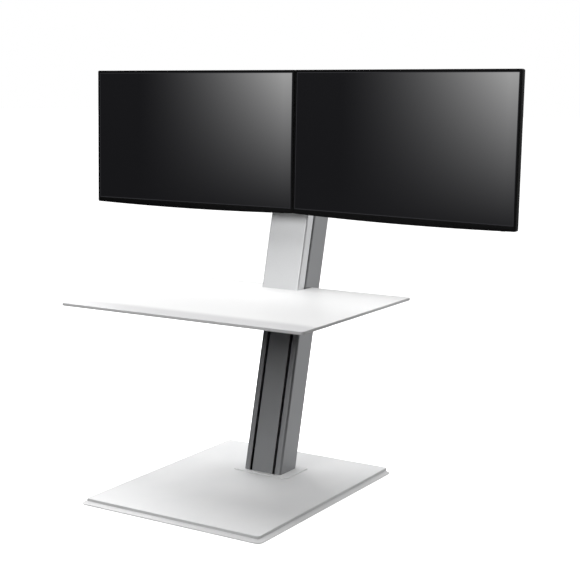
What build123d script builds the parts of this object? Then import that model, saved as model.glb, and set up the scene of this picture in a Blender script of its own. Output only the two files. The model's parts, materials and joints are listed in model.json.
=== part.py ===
from build123d import *
import os
from math import cos, radians, sin

os.makedirs("parts", exist_ok=True)

# Standing desk converter: a weighted base, a leaning hollow column, and a lift that carries the
# work surface, a mast and a crossbar with two turning, tilting screens.
# Millimetres and degrees. Origin: middle of the base's footprint, on the desk. +X right, +Y back, +Z up.

# ---- base ----
BASE_W = 530.0
BASE_D = 632.0
MAT_T = 1.5
MAT_INSET = 18.0
PLATE_T = 6.5
PLATE_LIP = 2.0
COVER_T = 7.0
COVER_INSET_X = 11.0
COVER_INSET_FRONT = 12.0
COVER_INSET_BACK = 4.0
PLATE_CORNER = 16.0
COVER_CORNER = 6.0
COLLAR_T = 3.0
COLLAR_SIDE = 28.0
COLLAR_FRONT = 12.0
COLLAR_BACK = 20.0
COLLAR_CORNER = 12.0

# ---- column: a C section that leans back, closed in front by a narrower strip ----
LEAN = 14.32
COLUMN_Y = 89.8
COLUMN_W = 112.5
COLUMN_D = 76.5
COLUMN_WALL = 4.0
COLUMN_CORNER = 7.0
COLUMN_TOP = 800.0
CAP_T = 6.0
CAP_SKIRT = 12.0
INNER_CORNER = 3.2
PLUG_GAP = 0.1
SLOT_X = 35.0
SLOT_W = 8.0
STRIP_T = 4.0
STRIP_FLANGE = 10.0
STRIP_FLANGE_T = 3.0
SPIGOT_TOP = 72.0
POCKET_X = 22.0
POCKET_V = (28.0, 62.0)
POCKET_LOW = 34.0
TONGUE_TOP = 60.0
FOOT_BOLT_X = 36.0
FOOT_BOLT_Y = (114.0, 150.0)
FOOT_SCREW_X = 36.0
FOOT_SCREW_W = (50.0, 64.0)
BUMPER_T = 8.0
BUMPER_R = 4.0

# ---- carriage and counterbalance inside the column ----
CARRIAGE_LOW = 545.0
CARRIAGE_HIGH = 735.0
CARRIAGE_X = 46.0
CARRIAGE_FRONT = 18.0
CARRIAGE_BACK = 66.0
CARRIAGE_WALL = 5.0
PAD_GAP = 0.25
PAD_L = 30.0
SPOOL_V = 45.0
SPOOL_W = 680.0
SPOOL_WIDTH = 34.0
SPOOL_X = 20.0
DRUM_R = 14.0
FLANGE_R = 19.5
FLANGE_T = 1.5
COIL_R = 18.5
AXLE_D = 8.0
RUNNING_GAP = 0.05
SPRING_T = 0.6
ANCHOR_LOW = 772.0
ANCHOR_T = 4.0
CABLE_X = 24.0
CABLE_DEPTH = 14.0
CABLE_WALL = 2.5
CABLE_END = 60.0
CABLE_LOW = 84.0
ARM_T = 5.0
ARM_LOW = 560.0
ARM_HIGH = 720.0
ARM_SCREW_W = (585.0, 640.0, 695.0)

# ---- mast: a box section just in front of the column ----
MAST_FRONT = 33.0
MAST_GAP = 1.5
MAST_WALL = 3.0
MAST_CORNER = 5.0
MAST_TOP = 930.0
HEAD_TOP_Z = 918.0

# ---- work surface ----
BOARD_W = 700.0
BOARD_FRONT = -270.0
BOARD_BACK = 246.0
BOARD_TOP = 490.0
BOARD_T = 10.0
BOARD_LIP = 7.0
BOARD_UNDERCUT = 20.0
BOARD_CORNER = 10.0
BOARD_ROLL = 60.0
BOARD_ROLL_DROP = 2.5
NOTCH_GAP = 3.75
NOTCH_FRONT = 207.0
TRIM_T = 1.5
BRACKET_W = 300.0
BRACKET_FRONT = -20.0
BRACKET_T = 3.0
BRACKET_FLANGE = 10.0
BOARD_SCREW_X = 125.0
BOARD_SCREW_Y = (5.0, 95.0, 180.0)
MAST_BOLT_X = 40.0
MAST_BOLT_Y = 197.5

# ---- crossbar ----
PAN_Y = 305.0
BAR_TURN = -3.455
BAR_HALF = 430.0
BAR_LOW = 921.0
BAR_HIGH = 967.0
BAR_FRONT = -53.0
BAR_BACK = -25.0
BAR_WALL = 3.0
BAR_CORNER = 5.0
SPINDLE_D = 16.0
HUB_R = 17.0
SADDLE_X = 45.0
SADDLE_BACK = -14.0
HUB_SCREW_X = 38.0
HUB_SCREW_Z = 12.0

# ---- screens ----
SCREEN_W = 646.0
SCREEN_H = 363.0
SCREEN_BOW = 5.0
SCREEN_GAP = 0.8
SCREEN_LEAN = 1.79
SCREEN_TURN = 3.455
PAIR_SHIFT = 47.0
PAN_FORWARD = 75.0
SCREEN_TO_PAN = 62.25
SCREEN_TO_TILT = 51.0
TILT_Z = 869.3
BEZEL_T = 9.0
BEZEL_SIDE = 6.0
BEZEL_CHIN = 12.0
PANEL_T = 3.0
PANEL_SET = 0.8
RIM_T = 16.0
SHELL_T = 34.0
SHELL_WALL = 2.5
BULGE_W = 320.0
BULGE_H = 150.0
BULGE_TAPER = 40.0
VESA_PITCH = 100.0
VESA_SIDE = 115.0
VESA_T = 3.0
KNUCKLE_R = 7.0
TILT_PIN_D = 6.0
EAR_T = 4.0
ARM_HALF = 9.0
SLIDER_HALF = 28.0
SLIDER_WALL = 7.0
SLIDER_LIP = 5.0
SLIDER_GAP = 0.3
LUG_R = 10.0
LUG_Z = (941.0, 961.0)
SHOULDER_R = 5.0
BUTTON_X = 283.0
BUTTON_W = 12.0
BUTTON_D = 4.0
BUTTON_H = 3.4
BUTTON_PROUD = 1.2
BUTTON_GAP = 0.2
SOCKET_X = 70.0
SOCKET_Z = (-86.0, -64.0)
SOCKETS = ((-45.0, 26.0), (0.0, 18.0), (35.0, 18.0))
SOCKET_DEEP = 10.0

# ---- worked out from the dimensions above ----
PLATE_TOP = MAT_T + PLATE_T
COVER_TOP = PLATE_TOP + COVER_T
BOARD_LOW = BOARD_TOP - BOARD_T
MAST_BACK = -MAST_GAP
MAST_V = -(MAST_FRONT + MAST_GAP) / 2
BAR_Z = (BAR_LOW + BAR_HIGH) / 2
HEAD_SPREAD = (
    SCREEN_W / 2 * cos(radians(SCREEN_TURN))
    + SCREEN_TO_PAN * sin(radians(SCREEN_TURN))
    + SCREEN_GAP / 2
)
COLUMN_AT = Location((0, COLUMN_Y, 0), (-LEAN, 0, 0))
BAR_AT = Location((0, PAN_Y, 0), (0, 0, BAR_TURN))
SIDES = {"left": -1, "right": 1}


def block(x, y, z):
    """A box from three (low, high) pairs."""
    size = [span[1] - span[0] for span in (x, y, z)]
    middle = [(span[1] + span[0]) / 2 for span in (x, y, z)]
    return Pos(*middle) * Box(*size)


def round_plate(x, y, z, corner):
    """A flat plate with upright rounded corners."""
    sketch = RectangleRounded(x[1] - x[0], y[1] - y[0], corner)
    placed = Pos((x[0] + x[1]) / 2, (y[0] + y[1]) / 2, z[0]) * sketch
    return extrude(placed, amount=z[1] - z[0])


def rod(radius, centre, axis, span):
    """A round bar along "x", "y" or "z", between two places on that axis."""
    turn = {"x": (0, 90, 0), "y": (-90, 0, 0), "z": (0, 0, 0)}[axis]
    middle = list(centre)
    middle["xyz".index(axis)] = (span[0] + span[1]) / 2
    return Location(tuple(middle), turn) * Cylinder(radius, span[1] - span[0])


def screw(head_r, head_t, shank_r, length, at, axis, sign):
    """A screw whose head sits on the face at `at`; the shank runs along sign * axis."""
    start = at["xyz".index(axis)]
    head = rod(head_r, at, axis, sorted((start - sign * head_t, start)))
    shank = rod(shank_r, at, axis, sorted((start, start + sign * length)))
    return head + shank


def leaned(shape):
    """Places a shape drawn in the column's own frame: X across, Y through it, Z along it."""
    return COLUMN_AT * shape


def below(z):
    """Everything under a level plane, to cut a leaning piece off flat."""
    return block((-500, 500), (-500, 500), (z - 400, z))


def group(pieces):
    """Several identical pieces that share a node."""
    return Compound(children=[s for piece in pieces for s in piece.solids()])


def save(name, shape):
    """Writes one node."""
    shape.label = name
    export_step(shape, f"parts/{name}.step")


# ---------------------------------------------------------------- base


def base_plate():
    """Steel ballast plate; its upper edge slopes outwards to a thin lip."""
    plate = round_plate(
        (-BASE_W / 2, BASE_W / 2), (-BASE_D / 2, BASE_D / 2), (MAT_T, PLATE_TOP), PLATE_CORNER
    )
    rim = plate.faces().sort_by(Axis.Z)[-1].outer_wire().edges()
    return chamfer(rim, length=PLATE_T - PLATE_LIP, length2=COVER_INSET_X - 1)


def nonslip_mat():
    """Thin rubber sheet glued under the ballast plate."""
    x = BASE_W / 2 - MAT_INSET
    y = BASE_D / 2 - MAT_INSET
    return round_plate((-x, x), (-y, y), (0, MAT_T), PLATE_CORNER)


def column_bore(gap):
    """The leaning space that the column takes up, with a gap all round."""
    across = COLUMN_W / 2 + gap
    return leaned(block((-across, across), (-gap, COLUMN_D + gap), (-60, 120)))


def base_cover():
    """White top cover of the base, with a leaning hole for the column."""
    cover = round_plate(
        (-BASE_W / 2 + COVER_INSET_X, BASE_W / 2 - COVER_INSET_X),
        (-BASE_D / 2 + COVER_INSET_FRONT, BASE_D / 2 - COVER_INSET_BACK),
        (PLATE_TOP, COVER_TOP),
        COVER_CORNER,
    )
    rim = cover.faces().sort_by(Axis.Z)[-1].outer_wire().edges()
    return fillet(rim, 1.2) - column_bore(1.0)


def foot_collar():
    """Low flange round the column's foot that hides the hole in the cover."""
    rise = COVER_TOP * sin(radians(LEAN))
    y0 = COLUMN_Y + rise
    y1 = y0 + COLUMN_D / cos(radians(LEAN))
    x = COLUMN_W / 2 + COLLAR_SIDE
    plate = round_plate(
        (-x, x),
        (y0 - COLLAR_FRONT, y1 + COLLAR_BACK),
        (COVER_TOP, COVER_TOP + COLLAR_T),
        COLLAR_CORNER,
    )
    rim = plate.faces().sort_by(Axis.Z)[-1].outer_wire().edges()
    return fillet(rim, 2.0) - column_bore(0.4)


def foot_bolts():
    """Four countersunk bolts up through the ballast plate into the foot bracket."""
    places = [(x, y) for x in (-FOOT_BOLT_X, FOOT_BOLT_X) for y in FOOT_BOLT_Y]
    return [
        screw(7.5, 2.5, 4.0, 22.0, (x, y, MAT_T + 2.5), "z", 1) for x, y in places
    ]


def column_screws():
    """Screws through the column's back wall into the foot bracket."""
    return [
        leaned(screw(5.0, 2.4, 2.5, 10.0, (x, COLUMN_D, w), "y", -1))
        for x in (-FOOT_SCREW_X, FOOT_SCREW_X)
        for w in FOOT_SCREW_W
    ]


def foot_bracket():
    """Cast block in the column's foot; a tongue in front holds the column's front strip."""
    x = COLUMN_W / 2 - COLUMN_WALL
    spigot = round_plate(
        (-x, x), (CARRIAGE_FRONT, COLUMN_D - COLUMN_WALL), (-60, SPIGOT_TOP), INNER_CORNER
    )
    spigot -= block((-POCKET_X, POCKET_X), POCKET_V, (POCKET_LOW, SPIGOT_TOP + 1))
    inside = SLOT_X - SLOT_W / 2 - STRIP_FLANGE_T
    tongue = block((-inside, inside), (STRIP_T, CARRIAGE_FRONT), (-60, TONGUE_TOP))
    return leaned(spigot + tongue) - below(PLATE_TOP)


# -------------------------------------------------------------- column


def column_channel():
    """Extruded C section: back, two sides and two front lips, leaning back."""
    middle = Pos(0, COLUMN_D / 2, -60)
    outer = middle * RectangleRounded(COLUMN_W, COLUMN_D, COLUMN_CORNER)
    inner = middle * RectangleRounded(
        COLUMN_W - 2 * COLUMN_WALL, COLUMN_D - 2 * COLUMN_WALL, COLUMN_CORNER - COLUMN_WALL
    )
    mouth = SLOT_X + SLOT_W / 2
    tube = extrude(outer - inner, amount=COLUMN_TOP + 60)
    tube -= block((-mouth, mouth), (-1, COLUMN_WALL + 1), (-61, COLUMN_TOP + 1))
    return leaned(tube) - below(PLATE_TOP)


def column_strip():
    """Front strip that closes the C section and leaves a slot on each side of it."""
    x = SLOT_X - SLOT_W / 2
    strip = block((-x, x), (0, STRIP_T), (-60, COLUMN_TOP))
    for side in (-1, 1):
        edge = sorted((side * (x - STRIP_FLANGE_T), side * x))
        strip += block(edge, (STRIP_T, STRIP_T + STRIP_FLANGE), (-60, COLUMN_TOP))
    return leaned(strip) - below(PLATE_TOP)


def column_cap():
    """Moulded cap on the column's top; its skirt and tongue hold the section and the front strip."""
    lid = Pos(0, COLUMN_D / 2, COLUMN_TOP) * RectangleRounded(COLUMN_W, COLUMN_D, COLUMN_CORNER)
    lid = extrude(lid, amount=CAP_T)
    rim = lid.faces().sort_by(Axis.Z)[-1].outer_wire().edges()
    lid = fillet(rim, 2.5)
    x = COLUMN_W / 2 - COLUMN_WALL - PLUG_GAP
    y = (CARRIAGE_FRONT, COLUMN_D - COLUMN_WALL - PLUG_GAP)
    skirt = round_plate((-x, x), y, (COLUMN_TOP - CAP_SKIRT, COLUMN_TOP), INNER_CORNER)
    skirt -= block((-x + 3, x - 3), (y[0] + 3, y[1] - 3), (COLUMN_TOP - 13, COLUMN_TOP))
    inside = SLOT_X - SLOT_W / 2 - STRIP_FLANGE_T
    tongue = block((-inside, inside), (STRIP_T, CARRIAGE_FRONT), (COLUMN_TOP - CAP_SKIRT, COLUMN_TOP))
    return leaned(lid + skirt + tongue)


def spring_anchor():
    """Cross plate near the column's top that the spring strips hang from."""
    x = COLUMN_W / 2 - COLUMN_WALL
    plate = round_plate(
        (-x, x), (30, COLUMN_D - COLUMN_WALL), (ANCHOR_LOW, ANCHOR_LOW + ANCHOR_T), INNER_CORNER
    )
    lip = block((-x + INNER_CORNER, x - INNER_CORNER), (30, 33), (ANCHOR_LOW - 10, ANCHOR_LOW))
    return leaned(plate + lip)


def travel_bumpers():
    """Rubber stops for the carriage: two on the foot bracket, two under the anchor plate."""
    low = [(x, 66.5, SPIGOT_TOP) for x in (-46, 46)]
    high = [(x, 42, ANCHOR_LOW - BUMPER_T) for x in (-46.5, 46.5)]
    return group(
        [leaned(rod(BUMPER_R, (x, v, 0), "z", (w, w + BUMPER_T))) for x, v, w in low + high]
    )


def cable_cover():
    """Shallow cover strip on the column's back that cables run behind."""
    high = COLUMN_TOP - CABLE_END
    outer = block((-CABLE_X, CABLE_X), (COLUMN_D, COLUMN_D + CABLE_DEPTH), (CABLE_LOW, high))
    upright = outer.edges().filter_by(Axis.Z).sort_by(Axis.Y)[-2:]
    outer = fillet(upright, 6)
    x = CABLE_X - CABLE_WALL
    back = COLUMN_D + CABLE_DEPTH - CABLE_WALL
    inner = block((-x, x), (COLUMN_D, back), (CABLE_LOW - 1, high + 1))
    return leaned(outer - inner)


# ------------------------------------------------ carriage and counterbalance


def carriage():
    """Box frame that rides inside the column, open at the back for the spring spools."""
    x = CARRIAGE_X
    frame = block((-x, x), (CARRIAGE_FRONT, CARRIAGE_BACK), (CARRIAGE_LOW, CARRIAGE_HIGH))
    frame -= block(
        (-x + CARRIAGE_WALL, x - CARRIAGE_WALL),
        (CARRIAGE_FRONT + CARRIAGE_WALL, CARRIAGE_BACK + 1),
        (CARRIAGE_LOW + CARRIAGE_WALL, CARRIAGE_HIGH - CARRIAGE_WALL),
    )
    for side in (-1, 1):
        notch = sorted((side * 3.5, side * 37))
        frame -= block(notch, (60, CARRIAGE_BACK + 1), (CARRIAGE_HIGH - 6, CARRIAGE_HIGH + 1))
    frame -= rod(AXLE_D / 2, (0, SPOOL_V, SPOOL_W), "x", (-x - 1, x + 1))
    return leaned(frame)


def glide_pads():
    """Twelve slippery pads that guide the carriage on the column's side, back and front walls."""
    wall = COLUMN_W / 2 - COLUMN_WALL - PAD_GAP
    lip = COLUMN_WALL + PAD_GAP
    back = COLUMN_D - COLUMN_WALL - PAD_GAP
    ends = ((CARRIAGE_LOW, CARRIAGE_LOW + PAD_L), (CARRIAGE_HIGH - PAD_L, CARRIAGE_HIGH))
    pads = []
    for side in (-1, 1):
        for w in ends:
            beside = sorted((side * CARRIAGE_X, side * wall))
            pads.append(leaned(block(beside, (26, 58), w)))
            front = sorted((side * 41.0, side * CARRIAGE_X))
            pads.append(leaned(block(front, (lip, CARRIAGE_FRONT), w)))
            behind = sorted((side * 41.5, side * CARRIAGE_X))
            pads.append(leaned(block(behind, (CARRIAGE_BACK, back), w)))
    return group(pads)


def spool_axle():
    """Plain pin across the carriage that both spools turn on."""
    return leaned(rod(AXLE_D / 2, (0, SPOOL_V, SPOOL_W), "x", (-CARRIAGE_X, CARRIAGE_X)))


def spool(side):
    """Flanged drum that a constant-force spring is wound on."""
    centre = side * SPOOL_X
    half = SPOOL_WIDTH / 2
    at = (0, SPOOL_V, SPOOL_W)
    drum = rod(DRUM_R, at, "x", (centre - half, centre + half))
    for end in (-1, 1):
        flange = sorted((centre + end * half, centre + end * (half - FLANGE_T)))
        drum += rod(FLANGE_R, at, "x", flange)
    drum -= rod(AXLE_D / 2 + RUNNING_GAP, at, "x", (centre - half - 1, centre + half + 1))
    return leaned(drum)


def spring_coil(side):
    """The wound part of the spring, a thick ring round the drum."""
    centre = side * SPOOL_X
    half = SPOOL_WIDTH / 2 - FLANGE_T
    at = (0, SPOOL_V, SPOOL_W)
    ring = rod(COIL_R, at, "x", (centre - half, centre + half))
    ring -= rod(DRUM_R, at, "x", (centre - half - 1, centre + half + 1))
    return leaned(ring)


def spring_strips():
    """The straight part of each spring, from its spool up to the anchor plate."""
    v = SPOOL_V + COIL_R + 0.3
    half = SPOOL_WIDTH / 2 - FLANGE_T - 1
    strips = [
        leaned(
            block(
                (side * SPOOL_X - half, side * SPOOL_X + half),
                (v, v + SPRING_T),
                (SPOOL_W, ANCHOR_LOW),
            )
        )
        for side in (-1, 1)
    ]
    return group(strips)


def lift_arms():
    """Two plates that reach through the column's slots and join the carriage to the mast."""
    arms = []
    for side in (-1, 1):
        x = side * SLOT_X
        blade = block(
            (x - ARM_T / 2, x + ARM_T / 2), (MAST_BACK, CARRIAGE_FRONT), (ARM_LOW, ARM_HIGH)
        )
        arms.append(leaned(blade))
    return group(arms)


def arm_screws():
    """Screws from inside the mast into the edges of the two lift arms."""
    seat = MAST_BACK - MAST_WALL
    return [
        leaned(screw(3.8, 2.0, 1.6, 13.0, (side * SLOT_X, seat, w), "y", 1))
        for side in (-1, 1)
        for w in ARM_SCREW_W
    ]


# ------------------------------------------------------------- mast


def mast_tube():
    """Extruded box section that stands on the work surface in front of the column."""
    depth = MAST_FRONT - MAST_GAP
    start = 440.0
    outer = Pos(0, MAST_V, start) * RectangleRounded(COLUMN_W, depth, MAST_CORNER)
    inner = Pos(0, MAST_V, start) * RectangleRounded(
        COLUMN_W - 2 * MAST_WALL, depth - 2 * MAST_WALL, MAST_CORNER - MAST_WALL
    )
    tube = extrude(outer - inner, amount=MAST_TOP - start)
    return leaned(tube) - below(BOARD_TOP)


def mast_plug(low, high):
    """A block that fills the mast's section between two places on its length."""
    x = COLUMN_W / 2 - MAST_WALL - PLUG_GAP
    front = -MAST_FRONT + MAST_WALL + PLUG_GAP
    back = MAST_BACK - MAST_WALL - PLUG_GAP
    return round_plate((-x, x), (front, back), (low, high), INNER_CORNER - 1)


def mast_foot():
    """Cast foot inside the mast's lower end, screwed down through the work surface."""
    return leaned(mast_plug(440, 530)) - below(BOARD_TOP)


def mast_head():
    """Cast head on the mast's top, cut level, that carries the crossbar's spindle."""
    depth = MAST_FRONT - MAST_GAP
    cap = Pos(0, MAST_V, MAST_TOP) * RectangleRounded(COLUMN_W, depth, MAST_CORNER)
    cap = leaned(extrude(cap, amount=40))
    plug = leaned(mast_plug(MAST_TOP - 40, MAST_TOP))
    ceiling = block((-500, 500), (0, 600), (HEAD_TOP_Z, HEAD_TOP_Z + 200))
    return cap + plug - ceiling


def pan_spindle():
    """Upright steel pin in the mast head that the crossbar's hub turns on."""
    pin = rod(SPINDLE_D / 2, (0, PAN_Y, 0), "z", (HEAD_TOP_Z - 14, BAR_HIGH + 2))
    washer = rod(SPINDLE_D / 2 + 4, (0, PAN_Y, 0), "z", (BAR_HIGH + 2.2, BAR_HIGH + 5))
    neck = rod(SPINDLE_D / 2 - 3, (0, PAN_Y, 0), "z", (BAR_HIGH + 2, BAR_HIGH + 2.2))
    return pin + neck + washer


# ------------------------------------------------------------ work surface


def board_outline(inset):
    """Plan of the board, with four round corners."""
    x = BOARD_W / 2 - inset
    y0 = BOARD_FRONT + inset
    y1 = BOARD_BACK - inset
    sketch = Pos(0, (y0 + y1) / 2) * Rectangle(2 * x, y1 - y0)
    return fillet(sketch.vertices(), max(BOARD_CORNER - inset, TRIM_T))


def platform_board():
    """Work surface: thin board with a knife edge, rolled down at the front and notched behind."""
    lip_low = BOARD_TOP - BOARD_LIP
    board = extrude(Pos(0, 0, lip_low) * board_outline(0), amount=BOARD_LIP)
    under = loft(
        [Pos(0, 0, BOARD_LOW) * board_outline(BOARD_UNDERCUT), Pos(0, 0, lip_low) * board_outline(0)]
    )
    board += under
    x = BOARD_W / 2 + 1
    with BuildSketch(Plane.YZ) as roll:
        with BuildLine():
            start = (BOARD_FRONT + BOARD_ROLL, BOARD_TOP)
            end = (BOARD_FRONT - 0.01, BOARD_TOP - BOARD_ROLL_DROP)
            TangentArc(start, end, tangent=(-1, 0))
            Polyline(end, (BOARD_FRONT - 1, BOARD_TOP + 1), (start[0], BOARD_TOP + 1), start)
        make_face()
    board -= extrude(roll.sketch, amount=x, both=True)
    reach = COLUMN_W / 2 + NOTCH_GAP
    board -= block((-reach, reach), (NOTCH_FRONT, BOARD_BACK + 1), (BOARD_LOW - 1, BOARD_TOP + 1))
    return board


def notch_trim():
    """Moulded U trim pressed on the board's notch round the column."""
    reach = COLUMN_W / 2 + NOTCH_GAP
    trim_back = BOARD_BACK - BOARD_UNDERCUT - TRIM_T
    trim = block((-reach, reach), (NOTCH_FRONT, trim_back), (BOARD_LOW, BOARD_TOP))
    trim -= block(
        (-reach + TRIM_T, reach - TRIM_T),
        (NOTCH_FRONT + TRIM_T, BOARD_BACK),
        (BOARD_LOW - 1, BOARD_TOP + 1),
    )
    return trim


def platform_bracket():
    """Folded steel bracket under the board, with a down-turned flange on each side."""
    x = BRACKET_W / 2
    y = (BRACKET_FRONT, NOTCH_FRONT - 2)
    top = block((-x, x), y, (BOARD_LOW - BRACKET_T, BOARD_LOW))
    for side in (-1, 1):
        wall = sorted((side * (x - BRACKET_T), side * x))
        low = BOARD_LOW - BRACKET_T - BRACKET_FLANGE
        top += block(wall, y, (low, BOARD_LOW - BRACKET_T))
    return top


def platform_screws():
    """Short screws up through the bracket into the board."""
    seat = BOARD_LOW - BRACKET_T
    places = [(x, y) for x in (-BOARD_SCREW_X, BOARD_SCREW_X) for y in BOARD_SCREW_Y]
    return [screw(4.5, 2.2, 2.0, 9.0, (x, y, seat), "z", 1) for x, y in places]


def mast_bolts():
    """Long bolts up through the bracket and the board into the mast's foot."""
    seat = BOARD_LOW - BRACKET_T
    return [
        screw(6.0, 3.5, 3.0, 34.0, (x, MAST_BOLT_Y, seat), "z", 1)
        for x in (-MAST_BOLT_X, 0, MAST_BOLT_X)
    ]


# ------------------------------------------------------------ crossbar


def crossbar():
    """Hollow aluminium bar that carries both heads."""
    deep = BAR_BACK - BAR_FRONT
    high = BAR_HIGH - BAR_LOW
    outer = RectangleRounded(deep, high, BAR_CORNER)
    inner = RectangleRounded(deep - 2 * BAR_WALL, high - 2 * BAR_WALL, BAR_CORNER - BAR_WALL)
    section = Plane.YZ * Pos((BAR_FRONT + BAR_BACK) / 2, BAR_Z) * (outer - inner)
    return BAR_AT * extrude(section, amount=BAR_HALF, both=True)


def bar_caps():
    """Moulded plugs in the bar's two ends."""
    caps = []
    for side in (-1, 1):
        lid = sorted((side * BAR_HALF, side * (BAR_HALF + 2.5)))
        cap = block(lid, (BAR_FRONT + 0.5, BAR_BACK - 0.5), (BAR_LOW + 0.5, BAR_HIGH - 0.5))
        edges = cap.edges().filter_by(Axis.X)
        cap = fillet(edges, BAR_CORNER - 0.5)
        inside = sorted((side * (BAR_HALF - 12), side * BAR_HALF))
        fit = BAR_WALL + PLUG_GAP
        plug = block(
            inside, (BAR_FRONT + fit, BAR_BACK - fit), (BAR_LOW + fit, BAR_HIGH - fit)
        )
        plug = fillet(plug.edges().filter_by(Axis.X), 2.5)
        caps.append(BAR_AT * (cap + plug))
    return group(caps)


def crossbar_hub():
    """Round hub with a flat saddle that the bar is bolted to; it turns on the spindle."""
    low = HEAD_TOP_Z + 0.5
    hub = rod(HUB_R, (0, 0, 0), "z", (low, BAR_HIGH + 2))
    saddle = block((-SADDLE_X, SADDLE_X), (BAR_BACK, SADDLE_BACK), (BAR_LOW, BAR_HIGH))
    saddle += block((-HUB_R, HUB_R), (BAR_BACK, 0), (BAR_LOW, BAR_HIGH))
    front = block((-60, 60), (-80, BAR_BACK), (low - 1, BAR_HIGH + 3))
    bore = rod(SPINDLE_D / 2 + RUNNING_GAP, (0, 0, 0), "z", (low - 1, BAR_HIGH + 3))
    return BAR_AT * (hub + saddle - front - bore)


def hub_screws():
    """Four screws through the saddle's ears into the bar."""
    return [
        BAR_AT * screw(4.5, 2.5, 2.2, 12.0, (x, SADDLE_BACK, z), "y", -1)
        for x in (-HUB_SCREW_X, HUB_SCREW_X)
        for z in (BAR_Z - HUB_SCREW_Z, BAR_Z + HUB_SCREW_Z)
    ]


# ------------------------------------------------------------ heads


def pan_place(side):
    """The head's upright pan axis, in the bar's frame."""
    return (PAIR_SHIFT + side * HEAD_SPREAD, -PAN_FORWARD, 0)


def pan_frame(side):
    """Frame on the pan axis, turned with the screen."""
    return BAR_AT * Location(pan_place(side), (0, 0, -side * SCREEN_TURN))


def tilt_frame(side):
    """Frame on the tilt axis, leaning with the screen; its X axis is the tilt axis."""
    forward = SCREEN_TO_TILT - SCREEN_TO_PAN
    return pan_frame(side) * Location((0, forward, TILT_Z), (-SCREEN_LEAN, 0, 0))


def head_slider(side):
    """Collar that slides along the bar, with a lug in front for the pan bolt."""
    half = SLIDER_HALF
    front = BAR_FRONT - SLIDER_GAP
    back = BAR_BACK + SLIDER_GAP
    low = BAR_LOW - SLIDER_GAP
    high = BAR_HIGH + SLIDER_GAP
    collar = block(
        (-half, half), (front - SLIDER_WALL, back + SLIDER_WALL), (low - SLIDER_LIP, high + SLIDER_LIP)
    )
    collar = fillet(collar.edges().filter_by(Axis.X), 4)
    collar -= block((-half - 1, half + 1), (front, back), (low, high))
    lug = block((-LUG_R, LUG_R), (-PAN_FORWARD, front - SLIDER_WALL), LUG_Z)
    lug += rod(LUG_R, (0, -PAN_FORWARD, 0), "z", LUG_Z)
    lug -= rod(SHOULDER_R + RUNNING_GAP, (0, -PAN_FORWARD, 0), "z", (LUG_Z[0] - 1, LUG_Z[1] + 1))
    x = pan_place(side)[0]
    return BAR_AT * (Pos(x, 0, 0) * (collar + lug))


def slider_screws(side):
    """Two set screws in the back of the collar that lock it to the bar."""
    x = pan_place(side)[0]
    seat = BAR_BACK + SLIDER_GAP + SLIDER_WALL
    return [
        BAR_AT * screw(3.5, 3.0, 2.5, SLIDER_WALL, (x + dx, seat, BAR_Z), "y", -1)
        for dx in (-15, 15)
    ]


def pan_bolt(side):
    """Shoulder bolt that the arm hangs from; its shoulder turns in the slider's lug."""
    eye_top = LUG_Z[0] - SLIDER_GAP
    lug_top = LUG_Z[1] + 0.2
    bolt = rod(8, (0, 0, 0), "z", (lug_top, lug_top + 4.8))
    bolt += rod(SHOULDER_R, (0, 0, 0), "z", (eye_top, lug_top))
    bolt += rod(4, (0, 0, 0), "z", (eye_top - 9.7, eye_top))
    return pan_frame(side) * bolt


def head_arm(side):
    """Cast arm: an eye under the slider's lug, a drop plate, and a knuckle for the tilt pin."""
    forward = SCREEN_TO_TILT - SCREEN_TO_PAN
    eye = rod(LUG_R, (0, 0, 0), "z", (928, LUG_Z[0] - SLIDER_GAP))
    drop = block((-ARM_HALF, ARM_HALF), (-3, 6), (TILT_Z - KNUCKLE_R, 930))
    neck = block(
        (-ARM_HALF, ARM_HALF), (forward, 0), (TILT_Z - KNUCKLE_R, TILT_Z + KNUCKLE_R)
    )
    knuckle = rod(KNUCKLE_R, (0, forward, TILT_Z), "x", (-ARM_HALF, ARM_HALF))
    bore = rod(TILT_PIN_D / 2 + RUNNING_GAP, (0, forward, TILT_Z), "x", (-20, 20))
    arm = eye + drop + neck + knuckle - bore
    return pan_frame(side) * arm - pan_bolt(side)


def vesa_plate(side):
    """Steel plate on the screen's back with two ears for the tilt pin."""
    back = SHELL_T - SCREEN_TO_TILT
    half = VESA_SIDE / 2
    plate = block((-half, half), (back, back + VESA_T), (-half, half))
    plate = fillet(plate.edges().filter_by(Axis.Y), 8)
    for ear in (-1, 1):
        span = sorted((ear * (ARM_HALF + 0.5), ear * (ARM_HALF + 0.5 + EAR_T)))
        tab = block(span, (back + VESA_T, 0), (-KNUCKLE_R, KNUCKLE_R))
        plate += tab + rod(KNUCKLE_R, (0, 0, 0), "x", span)
    return tilt_frame(side) * plate - tilt_pin(side)


def tilt_pin(side):
    """Pin across the two ears; the arm's knuckle turns on it."""
    reach = ARM_HALF + 0.5 + EAR_T + 2
    pin = rod(TILT_PIN_D / 2, (0, 0, 0), "x", (-reach, reach))
    for end in (-1, 1):
        span = sorted((end * (reach - 2), end * reach))
        pin += rod(TILT_PIN_D / 2 + 2, (0, 0, 0), "x", span)
    return tilt_frame(side) * pin


def vesa_screws(side):
    """Four screws through the plate into the screen's back."""
    seat = SHELL_T - SCREEN_TO_TILT + VESA_T
    half = VESA_PITCH / 2
    return [
        tilt_frame(side) * screw(4.0, 2.5, 2.0, 10.0, (x, seat, z), "y", -1)
        for x in (-half, half)
        for z in (-half, half)
    ]


# ------------------------------------------------------------ screens


def depth(d):
    """Place on the tilt frame's Y axis of a distance behind the screen's front."""
    return d - SCREEN_TO_TILT


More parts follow.
